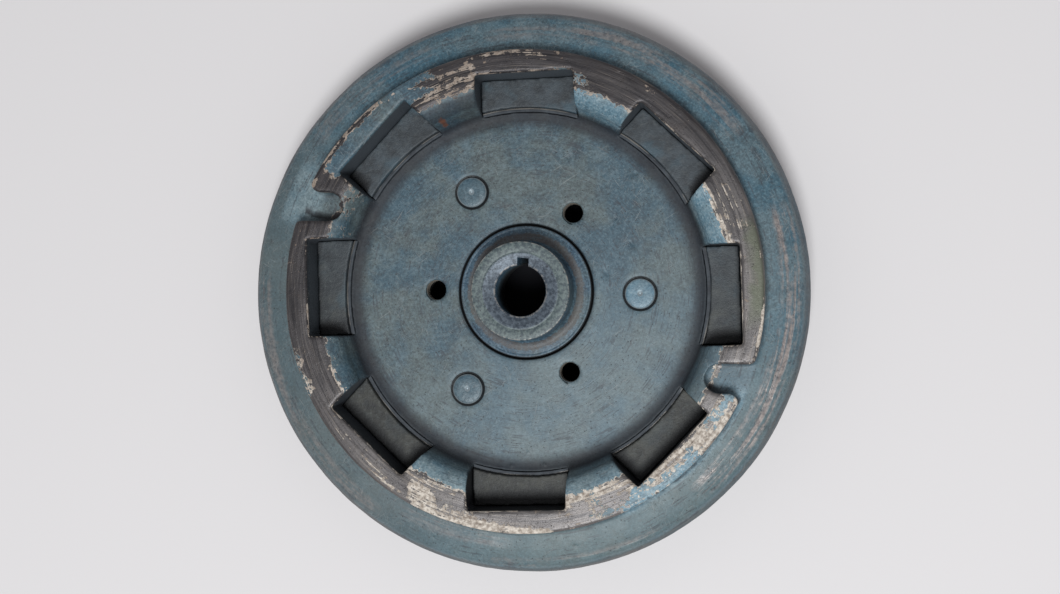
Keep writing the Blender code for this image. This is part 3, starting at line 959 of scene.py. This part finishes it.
class Graph:
    """Builds one material's nodes from short calls. Its lengths are in millimetres."""

    def __init__(self, name):
        self.material = bpy.data.materials.new(name)
        self.material.use_nodes = True
        self.tree = self.material.node_tree
        self.shader = self.tree.nodes["Principled BSDF"]
        self.place = self.node("TexCoord", "Object")
        split = self.tree.nodes.new("ShaderNodeSeparateXYZ")
        self.put(split.inputs[0], self.vector("MULTIPLY", self.place, (1 / MM, 1 / MM, 1 / MM)))
        self.x, self.y, self.height = [Field(self, output) for output in split.outputs]
        self.radius = self.reach(0, 0)
        flat = self.vector("MULTIPLY", self.place, (1, 1, 0))
        self.around = self.vector("NORMALIZE", flat)

    def node(self, kind, output, inputs=(), **settings):
        """The named output of a new node with these inputs and settings."""
        node = self.tree.nodes.new("ShaderNode" + kind)
        for key, value in settings.items():
            setattr(node, key, value)
        for key, value in dict(inputs).items():
            self.put(node.inputs[key], value)
        return Field(self, node.outputs[output])

    def put(self, socket, value):
        if isinstance(value, Field):
            self.tree.links.new(value.socket, socket)
        else:
            socket.default_value = value

    def maths(self, operation, first, second=0.0, third=0.0, clamp=False):
        inputs = {0: first, 1: second, 2: third}
        return self.node("Math", 0, inputs, operation=operation, use_clamp=clamp)

    def most(self, first, second):
        return self.maths("MAXIMUM", first, second)

    def reach(self, x, y):
        """Distance from an upright axis at this point of the XY plane."""
        dx = self.x - x
        dy = self.y - y
        return self.maths("SQRT", dx * dx + dy * dy)

    def nearest_axis(self, circle_r, angles):
        """Distance from the nearest of several upright axes on one circle."""
        reaches = [self.reach(*on_circle(circle_r / MM, degrees)) for degrees in angles]
        nearest = reaches[0]
        for other in reaches[1:]:
            nearest = self.maths("MINIMUM", nearest, other)
        return nearest

    def vector(self, operation, first, second=(0, 0, 0)):
        inputs = {0: first} if operation == "NORMALIZE" else {0: first, 1: second}
        return self.node("VectorMath", 0, inputs, operation=operation)

    def noise(self, size, detail=3.0, roughness=0.55, shift=0.0):
        """Noise from about -1 to 1, with lumps of about this size."""
        place = self.vector("ADD", self.place, (shift, shift, shift))
        inputs = {"Vector": place, "Scale": 1 / (size * MM), "Detail": detail, "Roughness": roughness}
        return self.maths("MULTIPLY_ADD", self.node("TexNoise", "Fac", inputs), 3.0, -1.5)

    def rings(self, width, length, detail=2.0, shift=0.0):
        """Noise from about -1 to 1 drawn out along circles about the shaft axis.
        The length is in degrees."""
        turned = self.vector("MULTIPLY", self.around, (60 / length, 60 / length, 1))
        lifted = self.vector("ADD", turned, (shift, shift, shift))
        along = (self.radius + self.height) * (1 / width)
        inputs = {"Vector": lifted, "W": along, "Scale": 1.0, "Detail": detail, "Roughness": 0.6}
        noise = self.node("TexNoise", "Fac", inputs, noise_dimensions="4D")
        return self.maths("MULTIPLY_ADD", noise, 3.0, -1.5)

    def scratches(self, width, length, degrees, share, shift=0.0):
        """Sparse straight scratches, 0 to 1, at one direction in the XY plane."""
        turn = {
            "Vector": self.place,
            "Location": (shift, shift / 2, 0),
            "Rotation": (0, 0, math.radians(degrees)),
            "Scale": (length * MM, width * MM, length * MM),
        }
        turned = self.node("Mapping", 0, turn, vector_type="TEXTURE")
        inputs = {"Vector": turned, "Scale": 1.0, "Detail": 1.0, "Distortion": 0.2}
        low = 0.74 - share * 0.12
        return self.step(self.node("TexNoise", "Fac", inputs), low, low + 0.035)

    def cells(self, size):
        """Distance to the nearest of a scatter of points, in units of size."""
        inputs = {"Vector": self.place, "Scale": 1 / (size * MM)}
        return self.node("TexVoronoi", "Distance", inputs)

    def step(self, value, low, high):
        """0 up to low and 1 from high on, smooth between; high may be the smaller."""
        inputs = {"Value": value, "From Min": low, "From Max": high}
        return self.node("MapRange", 0, inputs, interpolation_type="SMOOTHSTEP")

    def mix(self, factor, first, second):
        """Two colours mixed, all of the second where the factor is 1."""
        inputs = {"Factor": factor, 6: first, 7: second}
        return self.node("Mix", 2, inputs, data_type="RGBA", clamp_factor=True)

    def blend(self, factor, first, second):
        """The same for plain numbers."""
        inputs = {0: factor, 2: first, 3: second}
        return self.node("Mix", 0, inputs, data_type="FLOAT", clamp_factor=True)

    def mask(self, name):
        return self.node("Attribute", "Fac", attribute_name=name)

    def finish(self, colour, roughness, metallic, height, depth):
        """Height is a number field of 0 to 1 that stands for this depth."""
        bump = {"Strength": 1.0, "Distance": depth * MM, "Height": height}
        looks = {
            "Base Color": colour,
            "Roughness": roughness,
            "Metallic": metallic,
            "Normal": self.node("Bump", 0, bump),
        }
        for name, value in looks.items():
            self.put(self.shader.inputs[name], value)
        return self.material


def paint_colour(g, blue, grey, dark, light):
    """Blotched old paint: two main colours in large clouds, with darker and lighter spots."""
    clouds = g.noise(24, 6, 0.65)
    colour = g.mix(g.step(clouds, -0.3, 0.3), blue, grey)
    tone = g.noise(7, 9, 0.78, 0.3)
    colour = g.mix(g.step(tone, 0.0, 0.42) * 0.28, colour, light)
    colour = g.mix(g.step(tone, 0.0, -0.4) * 0.42, colour, dark)
    grain = g.noise(0.9, 6, 0.75, 1.7)
    colour = g.mix(g.step(grain, 0.0, 0.4) * 0.45, colour, light)
    return g.mix(g.step(grain, 0.0, -0.4) * 0.55, colour, dark)


def casting_material():
    g = Graph("worn_casting")
    primer = g.mask("primer")
    turned = g.mask("turned")
    ledge = g.mask("ledge")
    pale = g.mask("pale")

    mid = g.noise(5, 4, 0.65, 0.2)
    small = g.noise(1.6, 5, 0.65, 0.4)
    fine = g.noise(0.45, 3, 0.6, 0.6)
    streak = g.rings(0.9, 16, 5)
    hair = g.rings(0.28, 9, 2, 3.0)

    # paint, paler on one side (partly fading, partly painted light) and greener on the ledge
    paint = paint_colour(g, srgb(56, 82, 95), srgb(82, 94, 95), srgb(40, 46, 53), srgb(108, 126, 134))
    ledge_shades = srgb(52, 88, 104), srgb(80, 100, 108), srgb(42, 50, 56), srgb(112, 136, 146)
    ledge_paint = paint_colour(g, *ledge_shades)
    ledge_paint = g.mix(g.mask("dull") * 0.6, ledge_paint, srgb(84, 90, 88))
    low_side = g.step(pale, 0.7, 1.0) * 0.5
    ledge_paint = g.mix(low_side, ledge_paint, srgb(82, 92, 86))
    paint = g.mix(ledge, paint, ledge_paint)
    # paler, chalky paint on the lamp's side: partly fading, partly painted light
    fade_and_lit_side = g.step(pale + mid * 0.25, 0.4, 1.1) * 0.26
    fade_and_lit_side = fade_and_lit_side * (1.0 - ledge * 0.6)
    paint = g.mix(fade_and_lit_side, paint, srgb(134, 152, 160))
    light_shades = srgb(108, 142, 158), srgb(128, 150, 158), srgb(64, 86, 100), srgb(190, 204, 208)
    light_paint = paint_colour(g, *light_shades)
    paint = g.mix(g.mask("light"), paint, light_paint)

    # fine scratches, turning marks and dark strokes in the paint
    lines = g.step(hair, 0.4, 0.9) * (0.25 + turned * 0.75)
    paint = g.mix(lines * 0.35, paint, srgb(136, 144, 146))
    strokes = g.step(g.rings(0.6, 11, 3, 9.0) + mid * 0.6, 0.27, 0.46)
    paint = g.mix(strokes * 0.5, paint, srgb(48, 48, 55))
    cuts = g.scratches(0.35, 14, 35, 0.45)
    for degrees, share, shift in (
        (80, 0.4, 0.03), (150, 0.4, 0.07), (110, 0.35, 0.11),
        (10, 0.35, 0.17), (60, 0.4, 0.23), (130, 0.4, 0.29),
    ):
        cuts = g.most(cuts, g.scratches(0.28, 7, degrees, share, shift))
    cuts = cuts * g.step(g.noise(9, 3, 0.6, 2.0), -0.3, 0.4)
    paint = g.mix(cuts * 0.4, paint, srgb(146, 150, 150))

    # cream primer, in a thin broken line along the paint's edge and in streaky patches
    ragged = small * 0.42 + mid * 0.36 + streak * 0.25
    left = g.mask("paint") + ragged
    painted = g.step(left, 0.5, 0.53)
    width = 0.05 + g.step(g.noise(6, 3, 0.6, 4.0), -0.1, 0.4) * 0.26
    outline = g.step(left + width, 0.5, 0.53)
    patchy = g.rings(0.8, 12, 5, 5.0) * 0.5 + small * 0.24 + mid * 0.35
    shown = g.step(primer + patchy, 0.56, 0.6)
    shown = g.most(outline, shown) * (1.0 - ledge)
    cream = g.mix(g.step(small, -0.5, 0.5), srgb(214, 204, 192), srgb(146, 134, 122))
    cream = g.mix(g.step(streak + small * 0.5, 0.0, 0.6) * 0.75, cream, srgb(112, 98, 88))
    # cream browner on the side away from the lamp: painted shade
    cream = g.mix(g.step(pale, 0.6, 0.1) * 0.55, cream, srgb(118, 100, 88))

    # bare metal, streaked round the axis; darker on the side away from the lamp and lighter on the lamp's
    # side, as painted shade and painted light
    shaded_metal = g.mix(g.step(streak, -0.6, 0.6), srgb(39, 37, 40), srgb(74, 70, 71))
    lit_metal = g.mix(g.step(streak, -0.6, 0.6), srgb(76, 73, 74), srgb(121, 116, 114))
    metal = g.mix(g.step(pale + mid * 0.08, 0.15, 0.95), shaded_metal, lit_metal)
    metal = g.mix(g.step(hair, 0.1, 0.8) * 0.4, metal, srgb(146, 134, 122))
    metal = g.mix(g.step(mid, 0.0, 0.8) * 0.45, metal, srgb(62, 54, 51))
    metal = g.mix(g.step(small, 0.1, 0.9) * 0.4, metal, srgb(46, 41, 40))
    scuffed = g.mix(g.step(small, -0.5, 0.5), srgb(112, 106, 106), srgb(158, 148, 143))
    metal = g.mix(ledge, metal, scuffed)
    metal = g.mix(g.mask("olive"), metal, srgb(92, 94, 82))

    # on the ledge the paint is rubbed off in soft streaks
    rubbed = g.step(g.rings(1.1, 26, 4, 11.0) + small * 0.22, -0.3, 0.3)
    rubbed = rubbed * (1.0 - g.mask("paint")) * 1.4
    painted = g.blend(ledge, painted, g.maths("SUBTRACT", 1.0, rubbed, clamp=True))

    colour = g.mix(shown, metal, cream)
    colour = g.mix(painted, colour, paint)
    specks = g.step(g.cells(1.7) + small * 0.1, 0.17, 0.09)
    colour = g.mix(specks * 0.6, colour, srgb(42, 40, 40))
    chips = g.step(g.noise(2.6, 4, 0.6, 6.0), 0.7, 0.8)
    colour = g.mix(chips * 0.55, colour, srgb(46, 48, 52))
    # painted light and shade on the window walls: lighter where they face the lamp, nearly black where
    # they face away
    window_wall_shade = g.mix(g.step(pale, 0.3, 0.8), srgb(64, 70, 76), srgb(20, 22, 26))
    colour = g.mix(g.mask("window_wall_shade"), colour, window_wall_shade)
    spot = g.reach(*on_circle(66.4, 116.5)) + small * 0.9
    colour = g.mix(g.step(spot, 1.4, 0.6) * 0.85, colour, srgb(120, 68, 38))
    # darkening in hollows, corners, windows and at the web's foot: mostly painted shade, with some grime
    shade_and_soil = g.step(g.mask("shade_and_grime") + small * 0.06, 0.08, 1.0)
    colour = g.mix(shade_and_soil * 0.9, colour, srgb(30, 29, 35))

    # painted shade in the gaps: nearly black rings round the rivet heads and the hub; and the tapped
    # holes' bare threads
    rivet_ring = g.step(g.nearest_axis(RIVET_CIRCLE_R, RIVET_ANGLES), 6.35, 6.15)
    seat_ring = g.step(g.radius, 24.65, 24.4)
    black = g.most(rivet_ring, seat_ring) * g.step(g.height, 17, 18)
    colour = g.mix(black * 0.95, colour, srgb(16, 16, 19))
    threads = g.step(g.nearest_axis(TAPPED_CIRCLE_R, TAPPED_ANGLES), 4.15, 4.05)
    threads = threads * g.step(g.height, 23.6, 23.2)
    colour = g.mix(threads, colour, srgb(112, 106, 98))

    bare = (1.0 - painted) * (1.0 - shown)
    roughness = g.blend(bare, 0.5 + mid * 0.08, 0.42 + streak * 0.09)
    roughness = g.blend(shown * (1.0 - painted), roughness, 0.75)
    roughness = roughness + shade_and_soil * 0.2
    metallic = bare * 0.5
    height = painted * 0.5 + shown * (1.0 - painted) * 0.25
    height = height + small * 0.14
    height = height + fine * 0.07
    height = height + hair * 0.1 * (bare + turned)
    height = height - cuts * 0.2
    height = height - g.most(specks, chips) * 0.25
    return g.finish(colour, roughness, metallic, height, 0.16)


def hub_material():
    g = Graph("worn_hub_steel")
    small = g.noise(1.3, 5, 0.7, 0.4)
    fine = g.noise(0.4, 3, 0.6, 0.6)
    streak = g.rings(0.5, 20, 4)
    hair = g.rings(0.18, 12, 2, 3.0)
    paint = paint_colour(g, srgb(48, 74, 92), srgb(70, 88, 94), srgb(32, 37, 44), srgb(112, 134, 146))
    speckled = g.mix(g.step(small, -0.35, 0.35), srgb(60, 72, 77), srgb(100, 112, 111))
    speckled = g.mix(g.step(fine, 0.0, 0.7) * 0.5, speckled, srgb(42, 48, 48))
    bright = g.mix(g.step(small, -0.35, 0.35), srgb(54, 63, 73), srgb(94, 104, 114))
    bright = g.mix(g.step(fine, 0.1, 0.7) * 0.5, bright, srgb(48, 50, 58))
    colour = g.mix(g.mask("face"), paint, speckled)
    colour = g.mix(g.mask("sink"), colour, bright)
    brown = g.step(g.mask("brown") + small * 0.5 + streak * 0.3, 0.5, 1.0)
    colour = g.mix(brown * 0.6, colour, srgb(84, 72, 62))
    # corners rubbed bright: the boss's outer edge, the countersink's edge and the bore's mouth
    top = g.step(g.height, 36.4, 36.6)
    rubbed = g.step(g.radius, 16.75, 17.0) * g.step(g.radius, 17.5, 17.3)
    mouth = g.step(g.radius, 8.85, 9.0) * g.step(g.radius, 9.6, 9.35)
    worn = g.most(rubbed, mouth) * top * g.step(small, -0.25, 0.3)
    colour = g.mix(worn * 0.7, colour, srgb(150, 144, 138))
    specks = g.step(g.cells(1.3) + small * 0.1, 0.2, 0.12)
    colour = g.mix(specks * 0.7, colour, srgb(40, 38, 38))
    # painted shade: the bore's wall, the flange's tapped holes and the spigot's edge in the hub seat are
    # coloured nearly black
    shade_and_soil = g.step(g.mask("shade_and_grime") + small * 0.1, 0.2, 0.8)
    hole = g.step(g.nearest_axis(TAPPED_CIRCLE_R, TAPPED_ANGLES), 4.6, 4.3)
    rim = g.step(g.radius, 23.2, 23.45) * g.step(g.height, 17.6, 17.8)
    black = g.most(shade_and_soil, g.most(hole, rim))
    colour = g.mix(black * 0.97, colour, srgb(12, 12, 15))
    bare = g.most(g.mask("sink"), worn)
    roughness = g.blend(bare, 0.5, 0.42) + streak * 0.07
    roughness = g.blend(black, roughness, 0.85)
    metallic = bare * (1.0 - black) * 0.25
    height = hair * 0.12 + small * 0.14
    height = height + fine * 0.1
    return g.finish(colour, roughness, metallic, height, 0.14)


def mask_hub(hub):
    points = coordinates(hub)
    facing = normals(hub)
    radii = np.hypot(points[:, 0], points[:, 1]) / MM
    heights = points[:, 2] / MM
    front = smooth_step(0.2, 0.7, facing[:, 2])
    top = heights > 36.9
    attribute(hub, "face", front * top * (radii > 12.9))
    attribute(hub, "sink", top * (radii < 13.2) * front + 0.6 * (heights < 5) * (radii < 20))
    attribute(hub, "brown", band(radii, 18.6, 20.6, 1.0) * (heights < 27) * (heights > 24))
    # the bore's wall, to be coloured nearly black as painted shade
    inside = (radii < 12.6) & (heights < 36.6) & (heights > 4.4) & (np.abs(facing[:, 2]) < 0.5)
    attribute(hub, "shade_and_grime", np.where(inside, 1.0, 0.0))


def rivet_material():
    g = Graph("painted_rivet")
    small = g.noise(1.1, 3, 0.6, 0.4)
    fine = g.noise(0.35, 2, 0.5, 0.6)
    paint = paint_colour(g, srgb(50, 76, 90), srgb(64, 83, 92), srgb(36, 50, 60), srgb(98, 120, 130))
    bright_shades = srgb(88, 122, 140), srgb(110, 132, 142), srgb(64, 84, 98), srgb(148, 168, 176)
    bright_paint = paint_colour(g, *bright_shades)
    paint = g.mix(g.mask("pale"), paint, bright_paint)
    colour = g.mix(g.step(small, 0.2, 0.9) * 0.45, paint, srgb(78, 90, 98))
    colour = g.mix(g.step(g.mask("edge") + small * 0.3, 0.4, 0.9), colour, srgb(112, 120, 124))
    colour = g.mix(g.mask("dimple"), colour, srgb(150, 162, 168))
    # painted shade: the head's side in the gap round it is nearly black
    colour = g.mix(g.mask("side"), colour, srgb(22, 24, 28))
    roughness = 0.42 + small * 0.08
    height = small * 0.2 + fine * 0.12
    return g.finish(colour, roughness, g.mask("dimple") * 0.5, height, 0.14)


def mask_rivet(rivet, degrees):
    points = coordinates(rivet)
    facing = normals(rivet)
    x, y = on_circle(RIVET_CIRCLE_R, degrees)
    reach = np.hypot(points[:, 0] - x, points[:, 1] - y) / MM
    attribute(rivet, "dimple", (reach < 0.9) * (facing[:, 2] > 0.1))
    # the head's side, which the material colours as painted shade
    attribute(rivet, "side", (np.abs(facing[:, 2]) < 0.3) * (reach > 5.35))
    attribute(rivet, "edge", smooth_step(4.7, 5.2, reach) * (facing[:, 2] > 0.2))
    attribute(rivet, "pale", np.full(len(points), 0.9 if degrees == 0 else 0.1))


def magnet_material():
    g = Graph("magnet_face")
    mid = g.noise(6, 6, 0.65, 0.2)
    small = g.noise(1.5, 5, 0.65, 0.4)
    fine = g.noise(0.4, 3, 0.6, 0.6)
    pale = g.mask("pale")
    cool = g.mix(g.step(mid, -0.6, 0.7), srgb(46, 50, 54), srgb(70, 78, 84))
    warm = g.mix(g.step(mid, -0.6, 0.7), srgb(30, 31, 31), srgb(62, 62, 57))
    colour = g.mix(g.step(pale + mid * 0.2, 0.3, 0.8), cool, warm)
    colour = g.mix(g.step(small, 0.05, 0.6) * 0.4, colour, srgb(88, 92, 92))
    colour = g.mix(g.step(small, -0.05, -0.6) * 0.4, colour, srgb(34, 36, 40))
    blue = g.step(g.noise(11, 3, 0.6, 2.0), 0.0, 0.6)
    colour = g.mix(blue * 0.6 * (1.0 - pale), colour, srgb(66, 90, 102))
    rust = g.step(g.noise(2.4, 4, 0.6, 3.0), 0.6, 0.8)
    colour = g.mix(rust * 0.5, colour, srgb(92, 76, 58))
    # painted shadow at the magnet's end beside the wall on the lamp's side
    colour = g.mix(g.mask("magnet_end_shadow") * 0.85, colour, srgb(12, 14, 18))
    roughness = 0.55 + small * 0.08
    height = small * 0.25 + fine * 0.15
    height = height + mid * 0.2
    return g.finish(colour, roughness, 0.1, height, 0.2)


def mask_magnet(magnet):
    points = coordinates(magnet)
    low_side = 0.5 - 0.5 * points[:, 1] / WINDOW_WALL_R
    attribute(magnet, "pale", np.clip(low_side, 0, 1))
    # painted shadow: the end of each magnet beside the window wall on the lamp's side (-Y) is darkened as
    # if that wall shaded it
    below = points - np.array([0, 4.2 * MM, 0])
    outside = smooth_step(-2.6, 0.6, window_distance(below))
    attribute(magnet, "magnet_end_shadow", outside * (np.hypot(below[:, 0], below[:, 1]) > 66 * MM))


def pole_material():
    g = Graph("pole_shoe_steel")
    small = g.noise(1.2, 4, 0.65, 0.4)
    mid = g.noise(5, 4, 0.6, 0.8)
    streak = g.rings(0.4, 14, 2)
    dull = g.mix(g.step(mid, -0.6, 0.7), srgb(46, 50, 56), srgb(66, 72, 78))
    dull = g.mix(g.step(small, 0.3, 0.9) * 0.5, dull, srgb(70, 58, 50))
    shine = g.mix(g.step(streak, -0.5, 0.6), srgb(92, 90, 88), srgb(150, 146, 140))
    outer_edge = g.radius + mid * 0.16
    worn = g.step(outer_edge, 65.1, 65.22) * g.step(g.height, 24.6, 24.8)
    worn = worn * g.step(g.noise(12, 3, 0.6, 7.0), -0.2, 0.25)
    colour = g.mix(worn, dull, shine)
    roughness = g.blend(worn, 0.7, 0.45) + small * 0.1
    height = small * 0.2 + streak * 0.12
    return g.finish(colour, roughness, worn * 0.4, height, 0.1)


def wear_look(item, material):
    item.data.materials.clear()
    item.data.materials.append(material)
    item.data.shade_smooth()


def floor_material():
    """A matt pale sheet with painted shade, dark where the flywheel covers it, so that
    the bore looks as deep as it does on a real bench."""
    g = Graph("pale_floor")
    painted_floor_shade = g.step(g.radius, 70, 60)
    g.put(g.shader.inputs["Base Color"], g.mix(painted_floor_shade, srgb(218, 214, 214), srgb(20, 20, 24)))
    g.shader.inputs["Roughness"].default_value = 0.9
    g.shader.inputs["Specular IOR Level"].default_value = 0.2
    return g.material


# ---------------------------------------------------------------- the scene

def dress():
    body = build_body()
    mask_body(body)
    wear_look(body, casting_material())
    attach(body, "root")
    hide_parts("cast_body")

    hub = build_hub()
    mask_hub(hub)
    wear_look(hub, hub_material())
    hub.data.set_sharp_from_angle(angle=math.radians(40))
    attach(hub, "root")
    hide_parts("hub")

    head = rivet_material()
    for i, (rivet, degrees) in enumerate(zip(build_rivets(), RIVET_ANGLES), 1):
        mask_rivet(rivet, degrees)
        wear_look(rivet, head)
        rivet.data.set_sharp_from_angle(angle=math.radians(45))
        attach(rivet, "root")
        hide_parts(f"hub_rivet_{i}")

    alloy = magnet_material()
    for i, magnet in enumerate(build_magnets(), 1):
        mask_magnet(magnet)
        wear_look(magnet, alloy)
        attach(magnet, "root")
        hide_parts(f"magnet_{i}")

    steel = pole_material()
    for i, shoe in enumerate(build_pole_shoes(), 1):
        wear_look(shoe, steel)
        shoe.data.set_sharp_from_angle(angle=math.radians(35))
        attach(shoe, "root")
        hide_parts(f"pole_shoe_{i}")


# Metres, watts and degrees
FLOOR_HALF = 3
FLOOR_Z = -0.05 * MM
KEY_AT = (0.11, -0.59, 1.48)
KEY_SIZE = 0.5
KEY_POWER = 21.0
KEY_COLOUR = (0.95, 0.985, 1.0)
WORLD_COLOUR = (0.97, 0.97, 1.0, 1)
WORLD_STRENGTH = 0.36
CAMERA_LENS = 46.18
CAMERA_AT = (0.07239, -0.00836, 0.50457)
CAMERA_TURN = (0.934, 8.373, 1.182)


def add_key_light():
    lamp = bpy.data.lights.new("key", "AREA")
    lamp.shape = "DISK"
    lamp.size = KEY_SIZE
    lamp.energy = KEY_POWER
    lamp.color = KEY_COLOUR
    item = bpy.data.objects.new("key", lamp)
    item.location = KEY_AT
    item.rotation_euler = Vector(KEY_AT).to_track_quat("Z", "Y").to_euler()
    bpy.context.scene.collection.objects.link(item)


def build_studio():
    scene = bpy.context.scene
    mesh = bpy.data.meshes.new("floor")
    corners = [(x * FLOOR_HALF, y * FLOOR_HALF, FLOOR_Z) for x, y in ((-1, -1), (1, -1), (1, 1), (-1, 1))]
    mesh.from_pydata(corners, [], [(0, 1, 2, 3)])
    mesh.materials.append(floor_material())
    floor = new_object("floor", mesh)

    world = bpy.data.worlds.new("studio")
    world.use_nodes = True
    world.node_tree.nodes["Background"].inputs["Color"].default_value = WORLD_COLOUR
    world.node_tree.nodes["Background"].inputs["Strength"].default_value = WORLD_STRENGTH
    scene.world = world
    add_key_light()

    camera = bpy.data.cameras.new("camera")
    camera.sensor_width = 36
    camera.lens = CAMERA_LENS
    camera.clip_start = 0.01
    item = bpy.data.objects.new("camera", camera)
    item.location = CAMERA_AT
    item.rotation_euler = [math.radians(degrees) for degrees in CAMERA_TURN]
    scene.collection.objects.link(item)
    scene.camera = item
    scene.view_settings.view_transform = "Standard"


dress()
build_studio()
